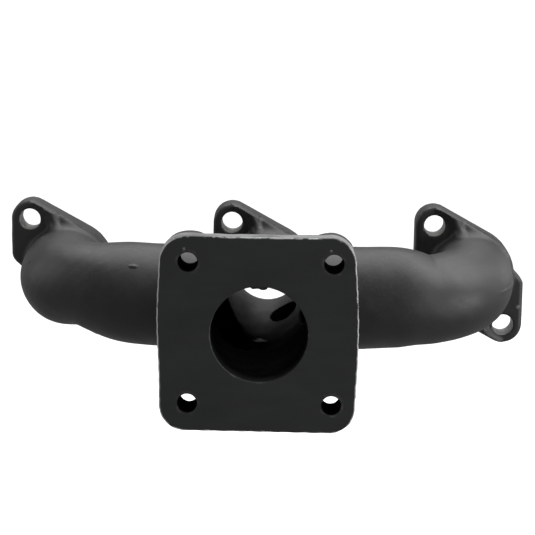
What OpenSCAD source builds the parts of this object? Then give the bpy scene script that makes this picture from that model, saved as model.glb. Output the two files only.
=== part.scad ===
// Three-port cast-iron exhaust manifold with a square four-bolt outlet flange.
// X runs along the cylinder bank, +Y points at the cylinder head, +Z is up.
// The origin is the centre of the middle port, on the machined head face.
// The real thing is one casting. Each module below is one region of it, and
// neighbouring regions meet face to face without overlapping.

/* [Ports] */
// Distance between neighbouring ports
port_pitch = 88; // [84:0.5:96]
// Radius of each port opening
port_r = 14.5; // [13:0.25:14.5]
// Thickness of each port flange
port_flange_t = 11; // [9:0.5:12]
// Radius of the round middle of each port flange
port_ring_r = 19.8; // [19.2:0.1:20.4]

/* [Stud ears] */
// Stud hole offset from the port centre along the bank
ear_x = 15.7; // [15:0.1:16.5]
// Stud hole offset from the port centre, up and down
ear_z = 21.8; // [21:0.1:23]
// Outer radius of each stud ear
ear_r = 8.2; // [7.6:0.1:8.6]
// Radius of each stud hole
stud_hole_r = 4.5; // [3.5:0.25:5.25]
// Radius of the flat under each nut
seat_r = 7.6; // [7:0.1:8]
// Depth of the flat under each nut
seat_depth = 0.5; // [0.2:0.1:1]

/* [Runners and log] */
// Outer radius of the end runners
runner_r = 18.3; // [17.8:0.1:19]
// Inner radius of the runners
runner_bore_r = 15; // [14.6:0.1:15.2]
// Outer radius of the log
log_r = 21.4; // [20.8:0.1:22]
// Inner radius of the log
log_bore_r = 17; // [16:0.25:17.5]
// Height of the log centre against the port centres
log_z = -3.05; // [-3.4:0.05:-2.6]
// Distance from the head face to the log centre
log_y = 45.87; // [44:0.25:48]
// Bend radius of the left elbow
bend_left = 20; // [19:0.5:22]
// Bend radius of the right elbow
bend_right = 24; // [22:0.5:26]

/* [Outlet] */
// Distance from the head face to the outlet face
outlet_y = 105; // [100:1:115]
// Offset of the outlet centre along the bank
outlet_x = -1.7; // [-3:0.1:0]
// Height of the outlet centre against the port centres
outlet_z = -4.7; // [-6:0.1:-4]
// Radius of the outlet bore
outlet_r = 19; // [17:0.25:19.25]
// Inner radius of the neck behind the outlet flange
neck_bore_r = 19.5; // [19.3:0.1:19.8]
// Outer radius of the neck
neck_r = 23.8; // [23.4:0.1:24.2]
// Side of the square outlet flange
flange_side = 76.6; // [76:0.2:80]
// Corner radius of the outlet flange
flange_corner_r = 10; // [8:0.5:12]
// Thickness of the outlet flange plate
flange_t = 8; // [7.5:0.5:9.5]
// Spacing of the outlet bolt holes
bolt_spacing = 55.6; // [55:0.1:56.6]
// Radius of the root fillet where the neck meets the flange
neck_fillet_r = 6; // [3:0.5:6]
// Radius of the outlet bolt holes
bolt_hole_r = 3.8; // [3.4:0.1:4.2]
// Radius of the pad behind each outlet bolt hole
pad_r = 9.3; // [8:0.1:9.5]
// Height of those pads behind the plate
pad_h = 7.6; // [6:0.1:8]

/* [Hidden] */
iron = [0.16, 0.17, 0.165];
iron_face = [0.13, 0.14, 0.14];
fn_hole = 48;
fn_tube = 72;
disc = 0.5;              // thickness of the discs that shape the left reducer
centre_end_y = 22;       // the middle runner hands over to the collector here
collector_half = 26;     // half the collector's length along the bank
neck_start_y = 70;       // the collector hands over to the neck here
reducer_left = 12;       // length of the left reducer
reducer_right = 9;       // length of the right reducer
corner_r = 5.6;          // small corner beside each stud ear
corner_z = 6.6;
runner_centre_r = 17.8;

// Points of an arc, counter-clockwise from a0 to a1 in degrees.
function arc(c, r, a0, a1, n) =
    [for (i = [0:n]) let (a = a0 + (a1 - a0) * i / n) [c[0] + r * cos(a), c[1] + r * sin(a)]];

// Half of the port flange outline; the other half is the same turned by 180 degrees.
function half_outline() =
    let (d = norm([ear_x, ear_z]),
         ea = 180 - atan2(ear_z, ear_x),
         t = ea - acos((port_ring_r - ear_r) / d),
         cx = -(ear_x + ear_r - corner_r),
         b = 228,
         p = [cx + corner_r * cos(b), corner_z + corner_r * sin(b)],
         u = [sin(b - 180), -cos(b - 180)],
         pu = p * u,
         s = -pu - sqrt(pu * pu - p * p + port_ring_r * port_ring_r),
         q = p + s * u,
         qa = atan2(q[1], q[0]))
    concat(arc([-ear_x, ear_z], ear_r, t, 180, 16),
           arc([cx, corner_z], corner_r, 180, b, 6),
           arc([0, 0], port_ring_r, qa, 180 + t, 8));

function turned(pts) = [for (p = pts) -p];

// A cylinder whose axis runs from y = -y0 to y = -y1.
module y_cyl(r, y0, y1, x = 0, z = 0, fn = fn_hole) {
    translate([x, -y0, z]) rotate([90, 0, 0]) cylinder(r = r, h = y1 - y0, $fn = fn);
}

// A cylinder whose axis runs along X.
module x_cyl(r, x0, x1, y, z, fn = fn_tube) {
    translate([x0, y, z]) rotate([0, 90, 0]) cylinder(r = r, h = x1 - x0, $fn = fn);
}

module port_flange(x) {
    translate([x, 0, 0]) difference() {
        rotate([90, 0, 0]) linear_extrude(port_flange_t)
            polygon(concat(half_outline(), turned(half_outline())));
        y_cyl(port_r, -1, port_flange_t + 1, fn = fn_tube);
        for (s = [-1, 1]) {
            y_cyl(stud_hole_r, -1, port_flange_t + 1, s * ear_x, -s * ear_z);
            y_cyl(seat_r, port_flange_t - seat_depth, port_flange_t + 1, s * ear_x, -s * ear_z);
        }
    }
}

module port_flange_left() { color(iron) port_flange(-port_pitch); }
module port_flange_centre() { color(iron) port_flange(0); }
module port_flange_right() { color(iron) port_flange(port_pitch); }

// A straight tube along -Y, starting at the origin.
module lead_in(lead, straight) {
    difference() {
        y_cyl(runner_r, -lead, straight, fn = fn_tube);
        y_cyl(runner_bore_r, -lead - 1, straight + 1, fn = fn_tube);
    }
}

// A quarter bend after that tube, leaving towards -X (side = 1) or +X (side = -1).
module bend(bend_r, straight, side) {
    translate([-side * bend_r, -straight, 0]) rotate([0, 0, side > 0 ? -90 : 180])
        difference() {
            rotate_extrude(angle = 90, $fn = fn_tube) translate([bend_r, 0]) circle(r = runner_r, $fn = fn_tube);
            rotate_extrude(angle = 90, $fn = fn_tube) translate([bend_r, 0]) circle(r = runner_bore_r, $fn = fn_tube);
        }
}

straight_left = log_y - port_flange_t - bend_left;

module runner_left() {
    color(iron) translate([-port_pitch, -port_flange_t, 0]) lead_in(0, straight_left);
}

module elbow_left() {
    color(iron) translate([-port_pitch, -port_flange_t, 0]) bend(bend_left, straight_left, -1);
}

// The right branch leans down towards the log.
lean = asin(-log_z / norm([log_y - port_flange_t, log_z]));
straight_right = norm([log_y - port_flange_t, log_z]) - bend_right;

module runner_right() {
    color(iron) difference() {
        translate([port_pitch, -port_flange_t, 0]) rotate([lean, 0, 0]) lead_in(3, straight_right);
        translate([port_pitch - 40, -port_flange_t, -40]) cube([80, 20, 80]);
    }
}

module elbow_right() {
    color(iron) translate([port_pitch, -port_flange_t, 0]) rotate([lean, 0, 0]) bend(bend_right, straight_right, 1);
}

module runner_centre() {
    color(iron) difference() {
        y_cyl(runner_centre_r, port_flange_t, centre_end_y, fn = fn_tube);
        y_cyl(runner_bore_r, port_flange_t - 1, centre_end_y + 1, fn = fn_tube);
    }
}

// The left reducer keeps its top level and widens downwards.
left_x0 = -port_pitch + bend_left;
left_x1 = left_x0 + reducer_left;
right_x0 = port_pitch - bend_right;
right_x1 = right_x0 - reducer_right;

module reducer_left() {
    color(iron) difference() {
        hull() {
            x_cyl(runner_r, left_x0, left_x0 + disc, -log_y, 0, fn = 48);
            x_cyl(log_r, left_x1 - disc, left_x1, -log_y, log_z, fn = 48);
        }
        hull() {
            x_cyl(runner_bore_r, left_x0 - 1, left_x0 + disc, -log_y, 0, fn = 48);
            x_cyl(log_bore_r, left_x1 - disc, left_x1 + 1, -log_y, log_z, fn = 48);
        }
    }
}

module log_left() {
    color(iron) difference() {
        x_cyl(log_r, left_x1, -collector_half, -log_y, log_z);
        x_cyl(log_bore_r, left_x1 - 1, -collector_half + 1, -log_y, log_z);
    }
}

module reducer_right() {
    color(iron) translate([right_x1, -log_y, log_z]) rotate([0, 90, 0])
        rotate_extrude($fn = fn_tube) polygon([[log_bore_r, 0], [log_r, 0],
            [runner_r, reducer_right], [runner_bore_r, reducer_right]]);
}

module log_right() {
    color(iron) difference() {
        x_cyl(log_r, collector_half, right_x1, -log_y, log_z);
        x_cyl(log_bore_r, collector_half - 1, right_x1 + 1, -log_y, log_z);
    }
}

// Where the log, the middle runner and the outlet neck meet.
module collector() {
    color(iron) difference() {
        union() {
            x_cyl(log_r, -collector_half, collector_half, -log_y, log_z);
            y_cyl(runner_centre_r, centre_end_y, log_y, fn = fn_tube);
            y_cyl(neck_r, log_y, neck_start_y, outlet_x, outlet_z, fn = fn_tube);
        }
        x_cyl(log_bore_r, -collector_half - 1, collector_half + 1, -log_y, log_z);
        y_cyl(runner_bore_r, centre_end_y - 1, log_y, fn = fn_tube);
        y_cyl(neck_bore_r, log_y, neck_start_y + 1, outlet_x, outlet_z, fn = fn_tube);
    }
}

neck_end_y = outlet_y - flange_t - neck_fillet_r;

module outlet_neck() {
    color(iron) difference() {
        y_cyl(neck_r, neck_start_y, neck_end_y, outlet_x, outlet_z, fn = fn_tube);
        y_cyl(neck_bore_r, neck_start_y - 1, neck_end_y + 1, outlet_x, outlet_z, fn = fn_tube);
    }
}

// The flared ring at the root of the neck, against the back of the flange.
module neck_root() {
    color(iron) translate([outlet_x, -neck_end_y, outlet_z]) rotate([90, 0, 0])
        rotate_extrude($fn = fn_tube) polygon(concat(
            [[neck_bore_r, neck_fillet_r], [neck_bore_r, 0]],
            [for (i = [0:6]) let (a = 15 * i)
                [neck_r + neck_fillet_r * (1 - cos(a)), neck_fillet_r * sin(a)]]));
}

function rounded_square(side, r) =
    let (h = side / 2 - r)
    concat(arc([h, h], r, 0, 90, 12), arc([-h, h], r, 90, 180, 12),
           arc([-h, -h], r, 180, 270, 12), arc([h, -h], r, 270, 360, 12));

module outlet_flange() {
    color(iron_face) translate([outlet_x, -(outlet_y - flange_t), outlet_z]) difference() {
        rotate([90, 0, 0]) linear_extrude(flange_t) polygon(rounded_square(flange_side, flange_corner_r));
        y_cyl(outlet_r, -1, flange_t + 1, fn = fn_tube);
        for (sx = [-1, 1], sz = [-1, 1])
            y_cyl(bolt_hole_r, -1, flange_t + 1, sx * bolt_spacing / 2, sz * bolt_spacing / 2);
    }
}

module bolt_pad(sx, sz) {
    y0 = outlet_y - flange_t - pad_h;
    color(iron) translate([outlet_x + sx * bolt_spacing / 2, 0, outlet_z + sz * bolt_spacing / 2])
        difference() {
            y_cyl(pad_r, y0, outlet_y - flange_t);
            y_cyl(bolt_hole_r, y0 - 1, outlet_y - flange_t + 1);
        }
}

module bolt_pad_upper_left() { bolt_pad(-1, 1); }
module bolt_pad_upper_right() { bolt_pad(1, 1); }
module bolt_pad_lower_left() { bolt_pad(-1, -1); }
module bolt_pad_lower_right() { bolt_pad(1, -1); }

port_flange_left();
port_flange_centre();
port_flange_right();
runner_left();
runner_centre();
runner_right();
elbow_left();
elbow_right();
reducer_left();
reducer_right();
log_left();
log_right();
collector();
outlet_neck();
neck_root();
outlet_flange();
bolt_pad_upper_left();
bolt_pad_upper_right();
bolt_pad_lower_left();
bolt_pad_lower_right();
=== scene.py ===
"""Visual model of the cast-iron exhaust manifold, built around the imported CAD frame.

The whole casting is described once as a signed distance field, turned into one fine mesh by dual contouring, and cut
along the same planes as the CAD regions. Every cut piece is closed, and its normals come from the field, so the
casting reads as one piece of iron. All lengths in the field are millimetres; the meshes are metres.
"""
import math

import bpy
import numpy as np
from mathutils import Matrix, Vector
from mathutils.geometry import delaunay_2d_cdt


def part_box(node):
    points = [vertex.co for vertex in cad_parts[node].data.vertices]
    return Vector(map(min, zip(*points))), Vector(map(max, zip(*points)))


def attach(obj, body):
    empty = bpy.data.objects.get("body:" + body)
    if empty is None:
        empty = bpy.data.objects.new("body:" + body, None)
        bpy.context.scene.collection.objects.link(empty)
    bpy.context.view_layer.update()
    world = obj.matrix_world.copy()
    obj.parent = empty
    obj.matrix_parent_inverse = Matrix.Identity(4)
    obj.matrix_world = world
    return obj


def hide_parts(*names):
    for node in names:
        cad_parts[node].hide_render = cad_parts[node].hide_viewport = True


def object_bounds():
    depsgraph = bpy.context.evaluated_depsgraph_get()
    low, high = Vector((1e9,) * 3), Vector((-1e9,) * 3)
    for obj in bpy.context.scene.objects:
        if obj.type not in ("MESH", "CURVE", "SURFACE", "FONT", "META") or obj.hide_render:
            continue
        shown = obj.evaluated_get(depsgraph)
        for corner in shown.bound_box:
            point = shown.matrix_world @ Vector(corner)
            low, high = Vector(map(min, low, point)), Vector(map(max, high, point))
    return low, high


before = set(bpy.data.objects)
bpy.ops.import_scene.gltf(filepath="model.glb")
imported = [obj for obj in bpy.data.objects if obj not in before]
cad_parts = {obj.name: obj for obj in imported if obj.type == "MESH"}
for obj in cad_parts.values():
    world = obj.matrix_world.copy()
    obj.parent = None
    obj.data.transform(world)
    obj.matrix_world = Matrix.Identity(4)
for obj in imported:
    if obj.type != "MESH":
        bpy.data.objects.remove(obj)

cad_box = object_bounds()


def span(node):
    lo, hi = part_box(node)
    return np.array(lo) * 1000.0, np.array(hi) * 1000.0


# ---- places taken from the CAD regions -------------------------------------------------------------------------
ports = []
for name in ("port_flange_left", "port_flange_centre", "port_flange_right"):
    lo, hi = span(name)
    ports.append(((lo[0] + hi[0]) / 2, (lo[2] + hi[2]) / 2))
FLANGE_T = span("port_flange_centre")[1][1] - span("port_flange_centre")[0][1]
EAR_R = 8.2
EAR_X = (span("port_flange_centre")[1][0] - span("port_flange_centre")[0][0]) / 2 - EAR_R
EAR_Z = (span("port_flange_centre")[1][2] - span("port_flange_centre")[0][2]) / 2 - EAR_R
olo, ohi = span("outlet_flange")
OX, OZ = (olo[0] + ohi[0]) / 2, (olo[2] + ohi[2]) / 2
SIDE = ohi[0] - olo[0]
FACE = -olo[1]
PLATE_T = ohi[1] - olo[1]
plo, phi = span("bolt_pad_upper_right")
BOLT = (plo[0] + phi[0]) / 2 - OX
PAD_H = phi[1] - plo[1]
llo, lhi = span("log_left")
LOG_Y, LOG_Z = (llo[1] + lhi[1]) / 2, (llo[2] + lhi[2]) / 2

# === FIELD BEGIN ===
RING_R = 19.8
STUD_R, BOLT_R = 4.5, 3.65
HX, HZ = OX + 0.4, OZ + 0.3  # the drilled holes sit a little off the plate's middle
H = 0.75  # grid spacing


def arc(c, r, a0, a1, n):
    return [(c[0] + r * math.cos(math.radians(a0 + (a1 - a0) * i / n)),
             c[1] + r * math.sin(math.radians(a0 + (a1 - a0) * i / n))) for i in range(n + 1)]


def flange_outline(cr2=5.6, cz2=6.6, b2=228):
    """The port flange's outline about its port: a ring with two stud ears.

    The arguments shape the corner below the second ear; with their defaults both halves are the same."""
    d = math.hypot(EAR_X, EAR_Z)
    ea = 180 - math.degrees(math.atan2(EAR_Z, EAR_X))
    t = ea - math.degrees(math.acos((RING_R - EAR_R) / d))
    halves = []
    for cr, cz, b in ((5.6, 6.6, 228), (cr2, cz2, b2)):
        cx = -(EAR_X + EAR_R - cr)
        p = np.array([cx + cr * math.cos(math.radians(b)), cz + cr * math.sin(math.radians(b))])
        u = np.array([math.sin(math.radians(b - 180)), -math.cos(math.radians(b - 180))])
        s = -p @ u - math.sqrt((p @ u) ** 2 - p @ p + RING_R ** 2)
        q = p + s * u
        qa = math.degrees(math.atan2(q[1], q[0])) % 360
        halves.append(arc((-EAR_X, EAR_Z), EAR_R, t, 180, 16) + arc((cx, cz), cr, 180, b, 6)
                      + arc((0, 0), RING_R, qa, 180 + t, 14))
    pts = np.array(halves[0] + [(-x, -z) for x, z in halves[1]])
    keep = np.linalg.norm(pts - np.roll(pts, 1, 0), axis=1) > 0.05
    return pts[keep]


OUTLINE = flange_outline()
OUTLINE_LAST = flange_outline(2.6, 3.4, 222)


def polygon(px, pz, pts):
    """Signed distance to a closed polygon."""
    best = np.full(px.shape, 1e9)
    inside = np.zeros(px.shape, bool)
    for i in range(len(pts)):
        a, b = pts[i - 1], pts[i]
        ex, ez = b[0] - a[0], b[1] - a[1]
        wx, wz = px - a[0], pz - a[1]
        t = np.clip((wx * ex + wz * ez) / (ex * ex + ez * ez), 0, 1)
        dx, dz = wx - t * ex, wz - t * ez
        best = np.minimum(best, dx * dx + dz * dz)
        cross = (a[1] > pz) != (b[1] > pz)
        if ez:
            inside ^= cross & (px < ex * (pz - a[1]) / ez + a[0])
    return np.sqrt(best) * np.where(inside, -1, 1)


def u_round(a, b, r):
    return np.maximum(r, np.minimum(a, b)) - np.hypot(np.maximum(r - a, 0), np.maximum(r - b, 0))


def i_round(a, b, r):
    return np.minimum(-r, np.maximum(a, b)) + np.hypot(np.maximum(r + a, 0), np.maximum(r + b, 0))


FINE = 16  # fine samples to one coarse step of a path


def smooth_curve(knots, step):
    """A Catmull-Rom curve through knots, sampled about every step / FINE mm.

    Knots hold x, y, z, outer and inner radius."""
    k = np.array(knots, float)
    k = np.vstack([2 * k[0] - k[1], k, 2 * k[-1] - k[-2]])
    out = []
    for i in range(1, len(k) - 2):
        n = max(2, int(np.linalg.norm(k[i + 1, :3] - k[i, :3]) * 6))
        t = (np.arange(n) / n)[:, None]
        # centripetal tangents keep uneven knots from overshooting
        d0 = max(np.linalg.norm(k[i, :3] - k[i - 1, :3]), 1e-6) ** 0.5
        d1 = max(np.linalg.norm(k[i + 1, :3] - k[i, :3]), 1e-6) ** 0.5
        d2 = max(np.linalg.norm(k[i + 2, :3] - k[i + 1, :3]), 1e-6) ** 0.5
        m1 = (k[i] - k[i - 1]) / d0 - (k[i + 1] - k[i - 1]) / (d0 + d1) + (k[i + 1] - k[i]) / d1
        m2 = (k[i + 1] - k[i]) / d1 - (k[i + 2] - k[i]) / (d1 + d2) + (k[i + 2] - k[i + 1]) / d2
        m1, m2 = m1 * d1, m2 * d1
        out.append((2 * t ** 3 - 3 * t ** 2 + 1) * k[i] + (t ** 3 - 2 * t ** 2 + t) * m1
                   + (-2 * t ** 3 + 3 * t ** 2) * k[i + 1] + (t ** 3 - t ** 2) * m2)
    out.append(k[-2][None])
    out = np.vstack(out)
    # even steps, then a light smoothing so that the curvature does not jump at the knots
    run = np.concatenate([[0], np.cumsum(np.linalg.norm(np.diff(out[:, :3], axis=0), axis=1))])
    count = FINE * max(1, round(run[-1] / step))
    even = np.linspace(0, run[-1], count + 1)
    out = np.stack([np.interp(even, run, out[:, j]) for j in range(out.shape[1])], 1)
    reach = int(4.5 / step * FINE)
    weight = np.exp(-0.5 * (np.arange(-reach, reach + 1) / (reach / 3)) ** 2)
    pad = np.vstack([2 * out[0] - out[reach:0:-1], out, 2 * out[-1] - out[-2:-reach - 2:-1]])
    return np.stack([np.convolve(pad[:, j], weight / weight.sum(), "valid") for j in range(out.shape[1])], 1)


LX, RX = ports[0][0], ports[2][0]
PATH = smooth_curve([
    (LX, 3, 0, 18.0, 14.5), (LX, -8, 0, 18.0, 14.5), (LX, -18, 0, 18.2, 14.7),
    (LX + 1.0, -27.5, -0.1, 18.3, 14.7), (LX + 4.3, -36.0, -0.2, 18.3, 14.7), (LX + 9.5, -41.0, 0.35, 17.6, 14.4),
    (LX + 13, -42.9, 0.4, 17.7, 14.5), (LX + 16, -43.9, 0.0, 18.3, 14.8), (LX + 19.5, -44.8, -0.5, 19.1, 15.4),
    (LX + 23, -45.3, -1.0, 19.9, 16.0), (LX + 26.5, -45.7, -1.5, 20.6, 16.6), (LX + 30, -45.8, -2.0, 21.0, 17.0),
    (LX + 36, LOG_Y, -2.55, 21.25, 17.0), (LX + 44, LOG_Y, -2.95, 21.38, 17.0), (-26, LOG_Y, LOG_Z, 21.4, 17.0),
    (0, LOG_Y, LOG_Z, 21.4, 17.0), (24, LOG_Y, LOG_Z, 21.4, 17.0), (40, LOG_Y, -2.9, 21.3, 17.0),
    (50, LOG_Y, -2.4, 21.1, 17.0), (57, LOG_Y, -2.4, 20.7, 16.6), (62, -45.5, -2.8, 19.8, 16.0),
    (66.5, -44.7, -3.3, 18.8, 15.2), (71, -43.0, -3.2, 18.5, 15.0), (77, -39.3, -2.8, 18.5, 14.8),
    (82.5, -33.3, -2.2, 18.4, 14.7), (86, -27, -1.5, 18.3, 14.7), (RX - 0.3, -19, -0.6, 18.3, 14.7),
    (RX, -8, 0, 18.2, 14.5), (RX, 3, 0, 18.1, 14.5)], 2.2)


INNER_LEFT = smooth_curve([tuple(k) for k in PATH[:1]] + [
    (LX, -8, 0, 18.0, 14.5), (LX, -18, 0, 18.2, 14.7), (LX + 3.0, -32, 0, 18.3, 14.7), (LX + 10, -40.5, 0, 18, 14.6),
    (LX + 20, -44.8, -0.6, 19, 15.4), (LX + 32, -45.8, -2.4, 21, 17.0), (-40, LOG_Y, -3.0, 21, 17.0),
    (-26, -46.8, -3.2, 21, 17.0), (-16, -50.4, -4.2, 21, 17.2), (-8, -54.6, -5.6, 21, 17.1),
    (-4, -57.2, -6.1, 21, 17.0)], 2.5)
INNER_RIGHT = smooth_curve([tuple(k) for k in PATH[-1:]] + [
    (RX, -8, 0, 18.2, 14.5), (RX - 0.3, -19, -0.6, 18.3, 14.7), (RX - 3, -29, -1.8, 18.3, 14.7),
    (RX - 11, -39.3, -2.8, 18.5, 14.8), (66.5, -44.4, -3.2, 18.8, 15.2), (55, LOG_Y, -2.5, 20.8, 16.6),
    (40, LOG_Y, -2.7, 21.3, 17.0), (28, -46.2, -1.2, 21.3, 16.2), (17, -48.5, 2.0, 21.3, 14.0),
    (6, -52.0, 4.0, 21.3, 12.8)], 2.5)
CENTRE = smooth_curve([
    (0, 4, 0, 0, 14.5), (0, -11, 0, 0, 14.55), (-0.1, -20, -0.4, 0, 15.3), (-0.5, -30, -1.3, 0, 16.4),
    (-1.0, -42, -2.6, 0, 17.7), (-1.4, -54, -3.9, 0, 18.6), (OX, -66, -4.6, 0, 19.1), (OX, -78, OZ, 0, 19.3),
    (OX, -96, OZ, 0, 18.85), (OX, -112, OZ, 0, 18.7)], 3.0)


def tube(p, path, k):
    """Distance to the wall of the tube that follows a path, with the radius in column k."""
    best = np.full(len(p), 60.0)
    at = np.zeros(len(p))
    low, high = p.min(0) - 42, p.max(0) + 42
    coarse = path[::FINE]
    for i, (a, b) in enumerate(zip(coarse[:-1], coarse[1:])):
        if (np.maximum(a, b)[:3] < low).any() or (np.minimum(a, b)[:3] > high).any():
            continue
        e = b[:3] - a[:3]
        w = p - a[:3]
        t = np.clip(w @ e / (e @ e), 0, 1)
        d = np.linalg.norm(w - t[:, None] * e, axis=1) - (a[k] + t * (b[k] - a[k]))
        closer = d < best
        best[closer] = d[closer]
        at[closer] = (i + t[closer]) * FINE
    near = np.abs(best) < 12
    if near.any():
        q, u = p[near], at[near]
        last = len(path) - 1
        tangent = np.gradient(path[:, :3], axis=0)
        second = np.gradient(tangent, axis=0)
        for step in range(4):
            i = np.minimum(u.astype(int), last - 1)
            f = (u - i)[:, None]
            c = path[i] * (1 - f) + path[i + 1] * f
            if step == 3:
                break
            t = tangent[i] * (1 - f) + tangent[i + 1] * f
            tt = (t * t).sum(1)
            w = q - c[:, :3]
            down = np.maximum(tt - (w * (second[i] * (1 - f) + second[i + 1] * f)).sum(1), 0.12 * tt)
            u = np.clip(u + np.clip((w * t).sum(1) / down, -FINE, FINE), 0, last)
        best[near] = np.linalg.norm(q - c[:, :3], axis=1) - c[:, k]
    return best


RIDGE = np.array([(2.6, 8.0), (6.2, 6.0), (8.7, 3.0), (10.0, -0.8), (10.8, -5.5), (11.2, -11.0), (11.2, -16.0)])


def ridge(qx, y, qz):
    """The low rib beside a stud ear that runs from the rim down on to the runner."""
    d = np.full(qx.shape, 1e9)
    for a, b in zip(RIDGE[:-1], RIDGE[1:]):
        ex, ez = b - a
        t = np.clip(((qx - a[0]) * ex + (qz - a[1]) * ez) / (ex * ex + ez * ez), 0, 1)
        d = np.minimum(d, np.hypot(qx - a[0] - t * ex, qz - a[1] - t * ez))
    return np.hypot(d, y + FLANGE_T - 0.2) - 2.1


def ripple(p):
    """Slow, shallow unevenness of an as-cast skin, about 0 on average."""
    x, y, z = p[:, 0], p[:, 1], p[:, 2]
    s = (np.sin(0.21 * x + 0.16 * y + 1.1) * np.sin(0.19 * z - 0.13 * x + 0.4)
         + 0.6 * np.sin(0.37 * y - 0.31 * z + 2.0) * np.sin(0.33 * x + 0.26 * z)
         + 0.3 * np.sin(0.73 * x - 0.51 * y + 0.7) * np.sin(0.68 * z + 0.42 * y + 1.9))
    return s


def plate_edge(ax, az):
    """Distance to the outlet plate's outline, whose sawn-off sides are not quite straight."""
    left = 38.3 + 1.0 * np.exp(-((az - 6) / 17.0) ** 2) + 0.05 * np.sin(1.3 * az + 0.6)
    right = 38.2 - 1.5 * np.clip((az - 2) / 26.0, 0, 1) ** 1.5 - 0.8 * np.clip((-az - 10) / 20.0, 0, 1) \
        + 0.07 * np.sin(1.1 * az + 1.9) + 0.04 * np.sin(2.3 * az)
    top = 38.0 + 0.06 * np.sin(0.7 * ax)
    bottom = 38.65 + 0.004 * ax + 0.06 * np.sin(0.9 * ax + 1)
    rad = 10.0
    qx = np.where(ax < 0, -ax - left, ax - right) + rad
    qz = np.where(az > 0, az - top, -az - bottom) + rad
    return np.hypot(np.maximum(qx, 0), np.maximum(qz, 0)) + np.minimum(np.maximum(qx, qz), 0) - rad


def blob(p, c, u, w, su, sw, sn):
    """About the distance to an ellipsoid at c with half sizes su along u, sw along w, sn across both."""
    u, w = np.array(u, float), np.array(w, float)
    u /= np.linalg.norm(u)
    w /= np.linalg.norm(w)
    n = np.cross(u, w)
    q = p - np.array(c)
    return (np.sqrt((q @ u / su) ** 2 + (q @ w / sw) ** 2 + (q @ n / sn) ** 2) - 1) * min(su, sw, sn)


def hollow(p):
    """The step in the collector's wall beside the middle runner."""
    return blob(p, (8.0, -23.6, -15.0), (0.84, 0.1, 0.50), (0, 1, 0), 7.6, 7.4, 2.3)


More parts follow.
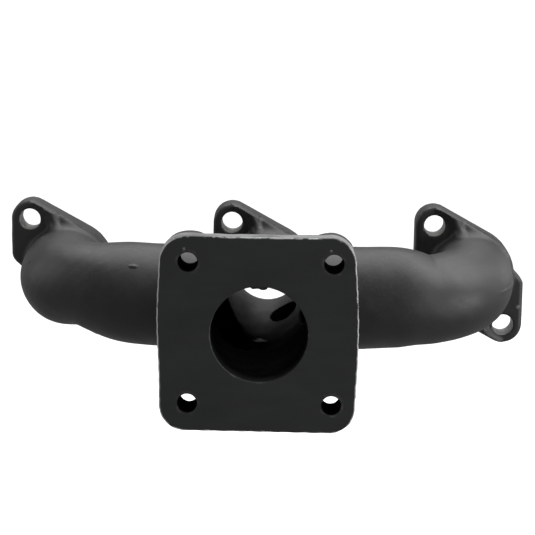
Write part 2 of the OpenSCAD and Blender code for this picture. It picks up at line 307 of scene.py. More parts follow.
def field(p):
    """Signed distance in mm to the casting: negative in the iron."""
    x, y, z = p[:, 0], p[:, 1], p[:, 2]
    t = -y
    outer = tube(p, PATH, 3)
    # middle branch and outlet neck grow out of the log
    rc = np.hypot(x, z)
    branch = np.maximum(rc - 17.8, t - 50)
    rn = np.hypot(x - OX, z - OZ)
    neck = np.maximum(np.maximum(rn - 23.4, 46 - t), t - FACE + 2)
    body = u_round(outer, branch, 6.0)
    body = u_round(body, neck, 7.0)
    # port flanges
    for cx, cz in ports:
        lx, lz = x - cx, z - cz
        near = (np.abs(lx) < 40) & (np.abs(lz) < 46) & (t < 36)
        if not near.any():
            continue
        ax, az, ay, at = lx[near], lz[near], y[near], t[near]
        d2 = polygon(ax, az, OUTLINE_LAST if cx == ports[-1][0] else OUTLINE)
        plate = i_round(d2, at - FLANGE_T, 1.9)
        for s in (1, -1):
            rib = ridge(s * ax + EAR_X, ay, s * az - EAR_Z)
            plate = u_round(plate, np.maximum(rib, d2 + 0.9), 1.8)
        old = body[near]
        # the fillet is wide beside the rib and tight under the stud hole
        turn = np.arctan2(az, ax)
        wide = np.clip((np.abs(np.cos(turn - math.radians(68))) - 0.55) * 2.6, 0, 1)
        # and the face stays clear round the holes
        clear = 1e9
        for s in (1, -1):
            clear = np.minimum(clear, np.hypot(s * ax + EAR_X, s * az - EAR_Z))
        clear = np.clip((clear - 5.0) / 5.5, 0, 1)
        clear = clear * clear * (3 - 2 * clear)
        blend = u_round(old, plate, 0.3 + (2.1 + 3.8 * wide * wide * (3 - 2 * wide)) * clear)
        new = np.minimum(np.minimum(old, plate), np.maximum(blend, d2 + 0.4))
        body[near] = new
    # outlet flange with its corner pads
    far = t > FACE - 34
    if far.any():
        ax, az, at = x[far] - OX, z[far] - OZ, t[far]
        d2 = plate_edge(ax, az)
        back = (FACE - PLATE_T) - at
        pad = i_round(np.hypot(np.abs(ax) - BOLT, np.abs(az) - BOLT) - 10.6, back - PAD_H, 1.6)
        slab = u_round(back, pad, 3.0)
        slab = i_round(slab, d2, 1.7)
        body[far] = u_round(body[far], slab, 5.5)
    # skin unevenness, fading out at the machined faces
    cast = np.clip(-y / 3.0 - 0.2, 0, 1) * np.clip((FACE - 1.5 - t) / 3.0, 0, 1)
    body = body + 0.07 * ripple(p) * cast
    # a cast nub on the log, a nick in the left elbow and the mould's parting line on the right one
    for c, size in (((-54.05, -61.1, 12.2), (1.6, 0.9, 0.5)),):
        near = np.linalg.norm(p - np.array(c), axis=1) < 8
        if near.any():
            d = (np.linalg.norm((p[near] - np.array(c)) / np.array(size), axis=1) - 1) * min(size)
            body[near] = u_round(body[near], d, 0.3)
    near = np.linalg.norm(p - np.array((-99.9, -40.0, 8.9)), axis=1) < 6
    if near.any():
        body[near] = i_round(body[near], -blob(p[near], (-99.9, -40.0, 8.9), (0.15, 0, 1), (1, 0, 0), 1.8, 0.7, 0.6), 0.2)
    near = (x > 92) & (x < 112) & (t > 14) & (t < 46) & (np.abs(z) < 3)
    if near.any():
        body[near] -= 0.22 * np.exp(-((z[near] + 0.4) / 0.55) ** 2) * np.clip((x[near] - 95) / 5, 0, 1)
    # machined outlet face and head faces
    body = i_round(body, t - FACE, 0.3)
    body = i_round(body, y, 0.3)
    # gas passages
    passage = u_round(tube(p, INNER_LEFT, 4), tube(p, CENTRE, 4), 1.2)
    passage = u_round(passage, tube(p, INNER_RIGHT, 4), 2.0)
    passage = passage + 0.10 * ripple(p[:, [2, 0, 1]]) * cast
    mid = (np.abs(x) < 24) & (t > 8)
    if mid.any():
        q = p[mid]
        m = u_round(passage[mid], np.maximum(hollow(q), body[mid] + 1.6), 0.6)
        # a small nib of metal on the collector's floor, which the material colours near white as a painted glint
        passage[mid] = i_round(m, -blob(q, (-2.2, -47.8, -21.5), (1, 0, 0), (0, 1, 0), 1.8, 0.8, 0.9), 0.2)
    body = i_round(body, -passage, 0.35)
    # a burr left hanging at the top of the outlet's mouth
    mid = (np.abs(x - OX) < 9) & (t > FACE - 8) & (z > 6)
    if mid.any():
        q = p[mid] - np.array([-1.9, -(FACE - 1.4), 14.3])
        lump = np.linalg.norm(q / np.array([1.0, 0.7, 1.0]) - np.array([-2.1, 0, 0]), axis=1) * 0.7 - 0.95
        lump = np.minimum(lump, np.linalg.norm(q / np.array([1.3, 0.7, 1.1]) - np.array([1.2, 0, 0]), axis=1) * 0.8 - 1.25)
        lump = np.minimum(lump, np.linalg.norm(q / np.array([2.2, 0.7, 0.8]), axis=1) * 0.6 - 0.9)
        body[mid] = u_round(body[mid], lump, 0.3)
    # stud and bolt holes
    for cx, cz in ports:
        for s in (1, -1):
            hole = np.maximum(np.hypot(x - cx + s * EAR_X, z - cz - s * EAR_Z) - STUD_R, t - 16)
            near = hole < 6
            body[near] = i_round(body[near], -hole[near], 0.4)
    hole = np.maximum(np.hypot(np.abs(x - HX) - BOLT, np.abs(z - HZ) - BOLT) - BOLT_R, FACE - PLATE_T - PAD_H - 3 - t)
    near = hole < 6
    body[near] = i_round(body[near], -hole[near], 0.2)
    return body


def chunks(fn, p, n=60000):
    return np.concatenate([fn(p[i:i + n]) for i in range(0, len(p), n)]) if len(p) else np.zeros(0)


def slope(p, e=0.06):
    """Unit gradient of the field by central differences."""
    g = np.empty_like(p)
    for i in range(3):
        d = np.zeros(3)
        d[i] = e
        g[:, i] = chunks(field, p + d) - chunks(field, p - d)
    return g / np.maximum(np.linalg.norm(g, axis=1), 1e-9)[:, None]


def contour(lo, hi, h):
    """Dual contouring on a grid. Returns vertices, their normals and triangles."""
    n = np.ceil((hi - lo) / h / 4).astype(int) * 4
    values = np.full(n + 1, 1e3)
    # blocks of 4 cells that may hold the surface
    b = n // 4
    c = np.stack(np.meshgrid(*[lo[i] + (np.arange(b[i]) * 4 + 2) * h for i in range(3)], indexing="ij"), -1)
    coarse = chunks(field, c.reshape(-1, 3)).reshape(b)
    fill = np.repeat(np.repeat(np.repeat(np.sign(coarse) * 1e3, 4, 0), 4, 1), 4, 2)
    values[:-1, :-1, :-1] = fill
    live = np.abs(coarse) < 4 * h * 0.87 * 1.25 + 0.6
    mask = np.zeros(n + 1, bool)
    full = np.repeat(np.repeat(np.repeat(live, 4, 0), 4, 1), 4, 2)
    for dx in (0, 1):
        for dy in (0, 1):
            for dz in (0, 1):
                mask[dx:dx + n[0], dy:dy + n[1], dz:dz + n[2]] |= full
    at = np.argwhere(mask)
    values[mask] = chunks(field, lo + at * h)
    neg = values < 0
    # cells with a sign change
    count = np.zeros(n, np.int8)
    for dx in (0, 1):
        for dy in (0, 1):
            for dz in (0, 1):
                count += neg[dx:dx + n[0], dy:dy + n[1], dz:dz + n[2]]
    cells = (count > 0) & (count < 8)
    ident = np.full(n, -1)
    ident[cells] = np.arange(cells.sum())
    total = int(cells.sum())
    ata = np.zeros((total, 6))
    atb = np.zeros((total, 3))
    mass = np.zeros((total, 3))
    hits = np.zeros(total)
    quads = []
    for ax in range(3):
        o = [0, 0, 0]
        o[ax] = 1
        s0 = neg[:n[0] + 1 - o[0], :n[1] + 1 - o[1], :n[2] + 1 - o[2]]
        s1 = neg[o[0]:, o[1]:, o[2]:]
        e = np.argwhere(s0 != s1)
        u, v = (ax + 1) % 3, (ax + 2) % 3
        ok = (e[:, u] > 0) & (e[:, v] > 0) & (e[:, u] < n[u]) & (e[:, v] < n[v])
        e = e[ok]
        i0, i1 = e, e + np.array(o)
        v0, v1 = values[tuple(i0.T)], values[tuple(i1.T)]
        p0, p1 = lo + i0 * h, lo + i1 * h
        f = v0 / (v0 - v1)
        for _ in range(2):  # regula falsi
            p = p0 + f[:, None] * (p1 - p0)
            f = np.clip(f - chunks(field, p) / np.where(v1 > v0, h, -h), 0, 1)
        p = p0 + f[:, None] * (p1 - p0)
        g = slope(p)
        around = []
        for du, dv in ((-1, -1), (0, -1), (0, 0), (-1, 0)):
            c = e.copy()
            c[:, u] += du
            c[:, v] += dv
            around.append(ident[tuple(c.T)])
        around = np.stack(around, 1)
        flip = v0 < 0
        quads.append(np.where(flip[:, None], around, around[:, ::-1]))
        gp = (g * p).sum(1)
        for k in range(4):
            c = around[:, k]
            for j, (r, q) in enumerate(((0, 0), (0, 1), (0, 2), (1, 1), (1, 2), (2, 2))):
                ata[:, j] += np.bincount(c, g[:, r] * g[:, q], total)
            for r in range(3):
                atb[:, r] += np.bincount(c, g[:, r] * gp, total)
                mass[:, r] += np.bincount(c, p[:, r], total)
            hits += np.bincount(c, minlength=total)
    mass /= hits[:, None]
    m = np.zeros((total, 3, 3))
    for j, (r, q) in enumerate(((0, 0), (0, 1), (0, 2), (1, 1), (1, 2), (2, 2))):
        m[:, r, q] = m[:, q, r] = ata[:, j]
    lam = 0.06
    m[:, [0, 1, 2], [0, 1, 2]] += lam
    vert = np.linalg.solve(m, (atb + lam * mass)[:, :, None])[:, :, 0]
    cell = np.argwhere(cells)
    centre = lo + (cell + 0.5) * h
    vert = np.clip(vert, centre - 0.5 * h, centre + 0.5 * h)
    g = slope(vert)
    d = chunks(field, vert)
    vert = vert - np.clip(d, -0.3 * h, 0.3 * h)[:, None] * g
    q = np.concatenate(quads)
    # the shorter diagonal
    a, b2, c2, d2 = (vert[q[:, i]] for i in range(4))
    short = np.linalg.norm(a - c2, axis=1) <= np.linalg.norm(b2 - d2, axis=1)
    t1 = np.where(short[:, None], q[:, [0, 1, 2]], q[:, [0, 1, 3]])
    t2 = np.where(short[:, None], q[:, [0, 2, 3]], q[:, [1, 2, 3]])
    return vert, g, np.concatenate([t1, t2])


def cut(mesh, axis, at):
    """Cuts a closed mesh by a plane into two closed meshes: the part below at, and the part above.

    A mesh is vertices, normals, triangles and a flag per triangle that is 1 on the flat cut faces."""
    v, nrm, f, flag = mesh
    s = v[:, axis] - at
    up = s >= 0
    side = up[f].sum(1)
    low, high, cross = f[side == 0], f[side == 3], f[(side == 1) | (side == 2)]
    flow, fhigh, fcross = flag[side == 0], flag[side == 3], flag[(side == 1) | (side == 2)]
    lone_up = up[cross].sum(1) == 1
    lone = np.argmax(up[cross] == lone_up[:, None], axis=1)
    rows = np.arange(len(cross))
    p, q, r = (cross[rows, (lone + k) % 3] for k in range(3))
    pairs = np.sort(np.concatenate([np.stack([p, q], 1), np.stack([p, r], 1)]), 1)
    uniq, back = np.unique(pairs, axis=0, return_inverse=True)
    back = back.reshape(-1)
    w = (s[uniq[:, 0]] / (s[uniq[:, 0]] - s[uniq[:, 1]]))[:, None]
    nv = v[uniq[:, 0]] * (1 - w) + v[uniq[:, 1]] * w
    nv[:, axis] = at
    nn = nrm[uniq[:, 0]] * (1 - w) + nrm[uniq[:, 1]] * w
    nn /= np.maximum(np.linalg.norm(nn, axis=1), 1e-9)[:, None]
    pq, pr = back[:len(p)] + len(v), back[len(p):] + len(v)
    tip = np.stack([p, pq, pr], 1)
    rest = np.concatenate([np.stack([q, r, pr], 1), np.stack([q, pr, pq], 1)])
    v, nrm = np.vstack([v, nv]), np.vstack([nrm, nn])
    restflag, restup = np.concatenate([fcross, fcross]), np.concatenate([lone_up, lone_up])
    # the cut line, as directed edges of the part above
    seg = np.where(lone_up[:, None], np.stack([pr, pq], 1), np.stack([pq, pr], 1)) - (len(v) - len(nv))
    u, w2 = (axis + 1) % 3, (axis + 2) % 3
    flat = nv[:, [u, w2]]
    points, _, faces, origin, _, _ = delaunay_2d_cdt(
        [Vector(x) for x in flat.tolist()], [tuple(x) for x in seg.tolist()], [], 0, 1e-7, True)
    assert len(points) == len(flat) and all(len(o) == 1 for o in origin)
    ids = np.array([o[0] for o in origin])
    tri = ids[np.array(faces)]
    c = flat[tri].mean(1)
    a, b = flat[seg[:, 0]], flat[seg[:, 1]]
    inside = np.zeros(len(c), bool)
    for i in range(len(c)):
        hit = (a[:, 1] > c[i, 1]) != (b[:, 1] > c[i, 1])
        x = a[hit, 0] + (c[i, 1] - a[hit, 1]) / (b[hit, 1] - a[hit, 1]) * (b[hit, 0] - a[hit, 0])
        inside[i] = (x > c[i, 0]).sum() % 2
    tri = tri[inside]
    e1, e2 = flat[tri[:, 1]] - flat[tri[:, 0]], flat[tri[:, 2]] - flat[tri[:, 0]]
    ccw = e1[:, 0] * e2[:, 1] - e1[:, 1] * e2[:, 0] > 0
    up_tri = np.where(ccw[:, None], tri, tri[:, ::-1]) + (len(v) - len(nv))  # faces +axis
    out = []
    for faces_, flags_, tipmask, cap in ((low, flow, ~lone_up, up_tri), (high, fhigh, lone_up, up_tri[:, ::-1])):
        restmask = restup != (faces_ is high)
        nf = np.concatenate([faces_, tip[tipmask], rest[restmask], cap])
        fl = np.concatenate([flags_, fcross[tipmask], restflag[restmask], np.ones(len(cap), int)])
        out.append(tidy((v, nrm, nf, fl)))
    return out


def tidy(mesh):
    """Drops the vertices that no triangle uses."""
    v, nrm, f, flag = mesh
    used = np.unique(f)
    new = np.full(len(v), -1)
    new[used] = np.arange(len(used))
    return v[used], nrm[used], new[f], flag


def pick(mesh, test):
    """The islands of a mesh whose triangles pass a test on their centres."""
    v, nrm, f, flag = mesh
    keep = test(v[f].mean(1))
    return tidy((v, nrm, f[keep], flag[keep]))


def regions(mesh):
    """The casting cut into the same regions as the CAD."""
    parts = {}
    rest, heads = cut(mesh, 1, -(FLANGE_T + 2.4))
    mid = (ports[0][0] + ports[1][0]) / 2, (ports[1][0] + ports[2][0]) / 2
    parts["port_flange_left"] = pick(heads, lambda c: c[:, 0] < mid[0])
    parts["port_flange_centre"] = pick(heads, lambda c: (c[:, 0] > mid[0]) & (c[:, 0] < mid[1]))
    parts["port_flange_right"] = pick(heads, lambda c: c[:, 0] > mid[1])
    back = FACE - PLATE_T
    parts["outlet_flange"], rest = cut(rest, 1, -(back - 1.9))
    root, rest = cut(rest, 1, -(back - PAD_H - 0.7))
    for zi, zn in ((1, "upper"), (-1, "lower")):
        for xi, xn in ((-1, "left"), (1, "right")):
            parts["bolt_pad_%s_%s" % (zn, xn)] = pick(
                root, lambda c: (xi * (c[:, 0] - OX) > 16) & (zi * (c[:, 2] - OZ) > 16))
    parts["neck_root"] = pick(root, lambda c: ~((np.abs(c[:, 0] - OX) > 16) & (np.abs(c[:, 2] - OZ) > 16)))
    parts["outlet_neck"], rest = cut(rest, 1, -71.5)
    left, rest = cut(rest, 0, -26.0)
    centre, right = cut(rest, 0, 26.0)
    parts["collector"], parts["runner_centre"] = cut(centre, 1, -22.5)
    left, parts["runner_left"] = cut(left, 1, -24.5)
    right, parts["runner_right"] = cut(right, 1, -24.5)
    left, parts["log_left"] = cut(left, 0, -54.0)
    parts["elbow_left"], parts["reducer_left"] = cut(left, 0, -67.0)
    parts["log_right"], right = cut(right, 0, 54.0)
    parts["reducer_right"], parts["elbow_right"] = cut(right, 0, 67.5)
    return parts
# === FIELD END ===


# ---- the meshes ------------------------------------------------------------------------------------------------
grid = H
low = np.array(cad_box[0]) * 1000 - 2.3
high = np.array(cad_box[1]) * 1000 + 2.3
vert, normal, tris = contour(low + np.array([0.13, 0.07, 0.19]), high, grid)


def bend_of(v, n, f):
    """How sharply the skin bends at each vertex, in 1/mm: positive on an outer edge, negative in a corner."""
    e = np.concatenate([f[:, [0, 1]], f[:, [1, 2]], f[:, [2, 0]]])
    d = v[e[:, 1]] - v[e[:, 0]]
    k = ((n[e[:, 1]] - n[e[:, 0]]) * d).sum(1) / np.maximum((d * d).sum(1), 1e-3)
    return (np.bincount(e[:, 0], k, len(v)) + np.bincount(e[:, 1], k, len(v))) / np.maximum(
        np.bincount(e[:, 0], minlength=len(v)) + np.bincount(e[:, 1], minlength=len(v)), 1)


whole = (vert, normal, tris, np.zeros(len(tris), int))
pieces = regions(whole)


def add_mesh(name, mesh):
    v, nrm, f, flag = mesh
    me = bpy.data.meshes.new(name)
    me.vertices.add(len(v))
    me.vertices.foreach_set("co", (v * 0.001).ravel())
    me.loops.add(3 * len(f))
    me.loops.foreach_set("vertex_index", f.ravel().astype(np.int32))
    me.polygons.add(len(f))
    me.polygons.foreach_set("loop_start", (np.arange(len(f)) * 3).astype(np.int32))
    me.update(calc_edges=True)
    me.polygons.foreach_set("use_smooth", np.ones(len(f), bool))
    # marks for the materials
    t = -v[:, 1]
    stud = np.full(len(v), 9.0)
    for cx, cz in ports:
        for k in (1, -1):
            stud = np.minimum(stud, np.hypot(v[:, 0] - cx + k * EAR_X, v[:, 2] - cz - k * EAR_Z) - STUD_R)
    stud = np.where(t < FLANGE_T + 3, stud, 9.0)
    bolt = np.hypot(np.abs(v[:, 0] - HX) - BOLT, np.abs(v[:, 2] - HZ) - BOLT) - BOLT_R
    bolt = np.where(t > FACE - PLATE_T - PAD_H - 3, np.minimum(bolt, 9.0), 9.0)
    rimside = (t > FACE - PLATE_T - 0.5) * np.clip(1.2 - np.abs(nrm[:, 1]) * 1.2, 0, 1)
    rim = np.where(t > FACE - PLATE_T - 2, np.clip(plate_edge(v[:, 0] - OX, v[:, 2] - OZ), -9, 9), -9.0)
    logs = np.minimum(tube(v, INNER_LEFT, 4), tube(v, INNER_RIGHT, 4))
    # painted shade: near-black colour on the walls of the side logs' passages, and a painted shadow in the hollow
    # beside the middle runner
    painted_shade = np.where((tube(v, CENTRE, 4) > 0.7) & (logs < 0.9), 1.0, 0.0) * (t > FLANGE_T)
    pocket = np.where((np.abs(v[:, 0]) < 24) & (t > 8), hollow(v), 9.0)
    painted_shade = np.maximum(painted_shade, np.clip((0.5 - pocket) / 0.25, 0, 1) * (np.abs(tube(v, CENTRE, 4) - 0.15) < 1.15))
    # painted shade: the passages' walls are marked darker the deeper they lie in the casting
    inside = ((np.minimum(tube(v, CENTRE, 4), logs) < 0.9) & (t > 1)) * np.interp(
        t, [0, 14, 28, 40, 50, 60, 96, 103, 105], [0.1, 0.2, 0.42, 0.72, 0.94, 0.98, 0.95, 0.7, 0.0])
    # painted glint: the nib on the collector's floor
    painted_glint = np.clip(1 - blob(v, (-2.2, -47.8, -21.5), (1, 0, 0), (0, 1, 0), 1.8, 0.8, 0.9) / 0.5, 0, 1)
    machined = np.clip((t - (FACE - 0.12)) / 0.1, 0, 1) * (nrm[:, 1] < -0.9) + (v[:, 1] > -0.1) * (nrm[:, 1] > 0.9)
    edge = np.clip(bend_of(v, nrm, f) * 2.2, 0, 1)
    for label, value in (("stud", stud), ("bolt", bolt), ("rim", rim), ("rimside", rimside), ("painted_shade", painted_shade), ("inside", inside), ("painted_glint", painted_glint),
                         ("machined", machined), ("edge", edge)):
        me.attributes.new(label, "FLOAT", "POINT").data.foreach_set("value", value.astype(np.float32))
    loops = nrm[f].reshape(-1, 3).copy()
    flat = np.cross(v[f[:, 1]] - v[f[:, 0]], v[f[:, 2]] - v[f[:, 0]])
    flat /= np.maximum(np.linalg.norm(flat, axis=1), 1e-12)[:, None]
    on = np.repeat(flag == 1, 3)
    loops[on] = np.repeat(flat, 3, 0)[on]
    me.normals_split_custom_set(loops.tolist())
    me.validate()
    ob = bpy.data.objects.new(name, me)
    bpy.context.scene.collection.objects.link(ob)
    return ob


# ---- materials -------------------------------------------------------------------------------------------------
class Nodes:
    """A small helper that keeps node set-up readable."""

    def __init__(self, name):
        self.mat = bpy.data.materials.new(name)
        self.mat.use_nodes = True
        self.tree = self.mat.node_tree
        self.tree.nodes.clear()
        self.out = self.tree.nodes.new("ShaderNodeOutputMaterial")
        self.bsdf = self.tree.nodes.new("ShaderNodeBsdfPrincipled")
        self.tree.links.new(self.bsdf.outputs[0], self.out.inputs[0])
        self.place = self.tree.nodes.new("ShaderNodeTexCoord").outputs["Object"]

    def link(self, a, b):
        self.tree.links.new(a, b)

    def noise(self, scale, detail=3.0, rough=0.55, stretch=None, kind="ShaderNodeTexNoise"):
        place = self.place
        if stretch:
            m = self.tree.nodes.new("ShaderNodeMapping")
            m.inputs["Scale"].default_value = stretch
            self.link(place, m.inputs[0])
            place = m.outputs[0]
        n = self.tree.nodes.new(kind)
        self.link(place, n.inputs["Vector"])
        n.inputs["Scale"].default_value = scale
        if kind == "ShaderNodeTexNoise":
            n.inputs["Detail"].default_value = detail
            n.inputs["Roughness"].default_value = rough
            return n.outputs["Fac"]
        return n.outputs["Distance"]

    def attr(self, name):
        n = self.tree.nodes.new("ShaderNodeAttribute")
        n.attribute_name = name
        return n.outputs["Fac"]

    def math(self, op, a, b=None, c=None, clamp=False):
        n = self.tree.nodes.new("ShaderNodeMath")
        n.operation = op
        n.use_clamp = clamp
        for i, x in enumerate((a, b, c)):
            if x is None:
                continue
            if isinstance(x, (int, float)):
                n.inputs[i].default_value = x
            else:
                self.link(x, n.inputs[i])
        return n.outputs[0]

    def ramp(self, x, lo, hi, a=0.0, b=1.0):
        n = self.tree.nodes.new("ShaderNodeMapRange")
        n.clamp = True
        self.link(x, n.inputs[0])
        for i, val in enumerate((lo, hi, a, b)):
            n.inputs[i + 1].default_value = val
        return n.outputs[0]

    def mix(self, fac, a, b):
        n = self.tree.nodes.new("ShaderNodeMix")
        n.data_type = "RGBA"
        ins = [i for i in n.inputs if i.type == "RGBA"]
        self.link(fac, n.inputs[0])
        for sock, x in zip(ins, (a, b)):
            if isinstance(x, tuple):
                sock.default_value = (*x, 1.0)
            else:
                self.link(x, sock)
        return [o for o in n.outputs if o.type == "RGBA"][0]

    def bump(self, height, strength, distance, normal=None):
        n = self.tree.nodes.new("ShaderNodeBump")
        n.inputs["Strength"].default_value = strength
        n.inputs["Distance"].default_value = distance
        self.link(height, n.inputs["Height"])
        if normal is not None:
            self.link(normal, n.inputs["Normal"])
        return n.outputs[0]


def cast_black():
    """Satin black coating over cast iron: mottled, finely grained, rubbed bright on edges and in the stud holes; with
    painted shade in the passages and bolt holes and a painted glint on the collector's floor.
    """
    k = Nodes("coated_cast_iron")
    cloud = k.noise(55, 4, 0.6)
    grain = k.noise(900, 3, 0.65)
    pit = k.noise(2600, 2, 0.6)
    sep = k.tree.nodes.new("ShaderNodeSeparateXYZ")
    k.link(k.place, sep.inputs[0])
    tone = k.mix(k.ramp(cloud, 0.35, 0.68), (0.0120, 0.0131, 0.0126), (0.0190, 0.0203, 0.0196))
    tone = k.mix(k.ramp(grain, 0.52, 0.75, 0.0, 0.35), tone, (0.030, 0.032, 0.031))
    machined = k.attr("machined")
    face = k.mix(k.ramp(k.noise(120, 4, 0.6, (0.35, 1, 1)), 0.3, 0.7), (0.0165, 0.0180, 0.0176), (0.0225, 0.0243, 0.0238))
    tone = k.mix(machined, tone, face)
    # the coating is rubbed and chipped along outer edges
    chips = k.math("MULTIPLY", k.ramp(k.attr("edge"), 0.35, 0.9), k.ramp(k.noise(260, 3, 0.6), 0.60, 0.72))
    tone = k.mix(k.math("MULTIPLY", chips, 0.7), tone, (0.10, 0.103, 0.101))
    # a bright burr on the rim of the outlet plate, nearly unbroken along its two sides
    rim = k.attr("rim")
    line = k.math("MULTIPLY", k.ramp(rim, -0.62, -0.38), k.ramp(sep.outputs[1], -(FACE - 0.9) * 0.001, -(FACE - 0.5) * 0.001))
    flank = k.ramp(k.math("ABSOLUTE", k.math("ADD", sep.outputs[0], -OX * 0.001)), 0.0335, 0.0360)
    broken = k.ramp(k.math("ADD", k.noise(110, 4, 0.75), k.math("MULTIPLY", flank, 0.11)), 0.46, 0.60)
    tone = k.mix(k.math("MULTIPLY", line, broken), tone, (0.42, 0.43, 0.42))
    # thin worn rings round the bolt holes, with a little rust in them
    bolt = k.attr("bolt")
    ring = k.math("MULTIPLY", k.ramp(bolt, 0.3, 0.5), k.ramp(bolt, 1.5, 0.8))
    ring = k.math("MULTIPLY", ring, k.math("MULTIPLY", machined, k.ramp(k.noise(330, 3, 0.6), 0.46, 0.66)))
    worn = k.mix(k.ramp(k.noise(150, 2, 0.5), 0.5, 0.6), (0.070, 0.072, 0.070), (0.085, 0.062, 0.046))
    tone = k.mix(k.math("MULTIPLY", ring, 0.6), tone, worn)
    # painted shade: the walls of the bolt holes are coloured near black
    tone = k.mix(k.ramp(bolt, 0.32, 0.14), tone, (0.0022, 0.0022, 0.0022))
    # painted shade, near black, on the side passages' walls, and a painted shadow in the hollow
    tone = k.mix(k.math("MULTIPLY", k.attr("painted_shade"), 0.9), tone, (0.0012, 0.0012, 0.0012))
    # painted shade deep in the passages, near black
    tone = k.mix(k.attr("inside"), tone, (0.0015, 0.0015, 0.0015))
    # ground sides of the outlet plate, paler towards the top
    ground = k.math("MULTIPLY", k.ramp(rim, -0.9, -0.35), k.ramp(sep.outputs[1], -(FACE - 1.0) * 0.001, -(FACE - 1.6) * 0.001))
    ground = k.math("MULTIPLY", ground, k.ramp(k.noise(70, 4, 0.65), 0.3, 0.6, 0.35, 1.0))
    ground = k.math("MULTIPLY", ground, k.ramp(sep.outputs[2], -0.01, 0.03, 0.35, 1.0))
    tone = k.mix(k.math("MULTIPLY", ground, k.ramp(k.attr("rimside"), 0.1, 0.7, 0, 0.9)), tone, (0.20, 0.204, 0.20))
    # odd chips in the coating
    chip = None
    for px, py, pz, r in ((0.1100, -0.0110, -0.0137, 0.0008), (-0.0304, -0.105, 0.0285, 0.0005),
                          (0.0252, -0.105, 0.0285, 0.0005), (0.1035, -0.0110, 0.0105, 0.0005)):
        gap = k.tree.nodes.new("ShaderNodeVectorMath")
        gap.operation = "DISTANCE"
        k.link(k.place, gap.inputs[0])
        gap.inputs[1].default_value = (px, py, pz)
        spot = k.ramp(k.math("ADD", gap.outputs["Value"], k.math("MULTIPLY", k.noise(900, 2, 0.7), 0.0012)), r + 0.0008, r + 0.0004)
        chip = spot if chip is None else k.math("MAXIMUM", chip, spot)
    tone = k.mix(k.math("MULTIPLY", chip, 0.55), tone, (0.22, 0.222, 0.218))
    # bare iron in the stud holes, and the painted glint on the collector's floor
    stud = k.attr("stud")
    bare = k.math("MAXIMUM", k.ramp(stud, 0.22, 0.05), k.attr("painted_glint"))
    iron = k.mix(k.ramp(k.noise(420, 4, 0.6), 0.3, 0.7), (0.16, 0.163, 0.155), (0.40, 0.40, 0.385))
    tone = k.mix(bare, tone, iron)
    # painted glint: near-white colour on the nib on the collector's floor
    tone = k.mix(k.attr("painted_glint"), tone, (0.95, 0.95, 0.90))
    k.link(tone, k.bsdf.inputs["Base Color"])
    rough = k.ramp(cloud, 0.3, 0.7, 0.42, 0.54)
    rough = k.math("ADD", rough, k.ramp(grain, 0.3, 0.7, -0.05, 0.06))
    rough = k.math("SUBTRACT", rough, k.math("MULTIPLY", bare, 0.1), clamp=True)
    k.link(rough, k.bsdf.inputs["Roughness"])
    k.link(k.math("MULTIPLY", k.math("SUBTRACT", bare, k.attr("painted_glint"), clamp=True), 0.6), k.bsdf.inputs["Metallic"])
    # the painted shade in the passages, the hollow and the bolt holes gets almost no specular
    painted_shade_areas = k.math("MAXIMUM", k.attr("painted_shade"), k.ramp(bolt, 0.32, 0.14))
    k.link(k.ramp(k.math("MAXIMUM", painted_shade_areas, k.math("MULTIPLY", machined, 0.35)), 0, 1, 0.40, 0.04),
           k.bsdf.inputs["Specular IOR Level"])
    # painted shade also loses its reflections: the IOR drops to about 1
    gone = k.math("MAXIMUM", painted_shade_areas, k.attr("inside"))
    k.link(k.ramp(gone, 0, 1, 1.5, 1.02), k.bsdf.inputs["IOR"])
    keep = k.ramp(machined, 0.0, 1.0, 1.0, 0.12)
    height = k.math("ADD", k.math("MULTIPLY", grain, 0.8), k.math("MULTIPLY", pit, 0.35))
    height = k.math("MULTIPLY", height, keep)
    lines = k.noise(500, 2, 0.5, (0.04, 1.0, 1.0))
    height = k.math("ADD", height, k.math("MULTIPLY", k.math("MULTIPLY", lines, machined), 0.22))
    normal = k.bump(height, 0.45, 0.0001)
    normal = k.bump(k.math("MULTIPLY", k.noise(140, 3, 0.5), keep), 0.15, 0.0004, normal)
    k.link(normal, k.bsdf.inputs["Normal"])
    return k.mat


black = cast_black()
for name, mesh in pieces.items():
    ob = add_mesh("casting_" + name, mesh)
    ob.data.materials.append(black)
    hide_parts(name)
    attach(ob, "root")

# ---- floor, lights, camera -------------------------------------------------------------------------------------
scene = bpy.context.scene


def stage_material():
    k = Nodes("pale_floor")
    tone = k.mix(k.ramp(k.noise(3, 2, 0.5), 0.3, 0.7), (0.93, 0.93, 0.93), (0.95, 0.95, 0.95))
    k.link(tone, k.bsdf.inputs["Base Color"])
    k.bsdf.inputs["Roughness"].default_value = 0.9
    k.bsdf.inputs["Specular IOR Level"].default_value = 0.0
    return k.mat


me = bpy.data.meshes.new("floor")
R = 30.0
me.from_pydata([(-R, -R, -0.30), (R, -R, -0.30), (R, R, -0.30), (-R, R, -0.30)], [], [(0, 1, 2, 3)])
floor = bpy.data.objects.new("floor", me)
scene.collection.objects.link(floor)
me.materials.append(stage_material())
floor.visible_diffuse = False
floor.visible_glossy = False

world = bpy.data.worlds.new("studio")
scene.world = world
world.use_nodes = True
bg = world.node_tree.nodes["Background"]
bg.inputs[0].default_value = (1.0, 1.0, 1.0, 1.0)
bg.inputs[1].default_value = 0.34


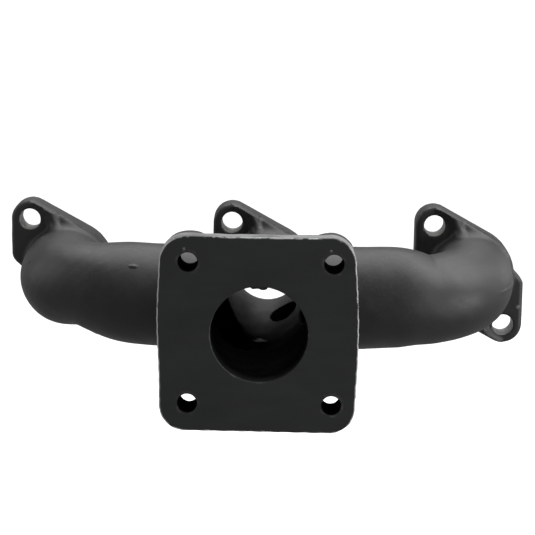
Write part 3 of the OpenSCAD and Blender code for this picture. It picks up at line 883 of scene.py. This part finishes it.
def area(name, loc, target, size, size_y, power):
    d = bpy.data.lights.new(name, "AREA")
    d.shape = "RECTANGLE"
    d.size, d.size_y, d.energy = size, size_y, power
    ob = bpy.data.objects.new(name, d)
    ob.location = loc
    ob.rotation_euler = (Vector(target) - Vector(loc)).to_track_quat("-Z", "Y").to_euler()
    scene.collection.objects.link(ob)
    return ob


sun = bpy.data.lights.new("sky_panel", "SUN")
sun.energy, sun.angle = 2.65, math.radians(64)
so = bpy.data.objects.new("sky_panel", sun)
so.rotation_euler = (math.radians(-20), 0, 0)
scene.collection.objects.link(so)
area("top_box", (0, 0.1, 1.1), (0, -0.05, 0), 1.2, 0.9, 1.5)
area("left_box", (-1.0, 0.0, 0.35), (0, -0.05, 0), 0.7, 0.8, 2.6)
area("low_right_box", (0.9, -0.45, -0.05), (0.08, -0.04, 0), 0.5, 0.4, 4.5)
area("far_right_box", (0.8, 0.5, 0.15), (0.09, -0.04, 0), 0.4, 0.4, 1.0)
area("right_box", (0.75, -0.1, 0.75), (0, -0.05, 0), 0.8, 0.8, 11.5)

f_px, pitch, yaw, roll = 1657.96, math.radians(11.850), math.radians(-0.744), math.radians(0.8376)
fwd = Vector((math.sin(yaw) * math.cos(pitch), math.cos(yaw) * math.cos(pitch), -math.sin(pitch)))
side = fwd.cross(Vector((0, 0, 1))).normalized()
upv = side.cross(fwd)
r2 = math.cos(roll) * side + math.sin(roll) * upv
u2 = -math.sin(roll) * side + math.cos(roll) * upv
cam = bpy.data.cameras.new("camera")
cam.sensor_fit = "HORIZONTAL"
cam.sensor_width = 36
cam.lens = 36 * f_px / 535
cam.clip_start, cam.clip_end = 0.01, 100
co = bpy.data.objects.new("camera", cam)
from mathutils import Matrix
co.matrix_world = Matrix(((r2[0], u2[0], -fwd[0], 0.00920739), (r2[1], u2[1], -fwd[1], -0.71994181),
                          (r2[2], u2[2], -fwd[2], 0.15080997), (0, 0, 0, 1)))
scene.collection.objects.link(co)
scene.camera = co
scene.view_settings.view_transform = "Standard"
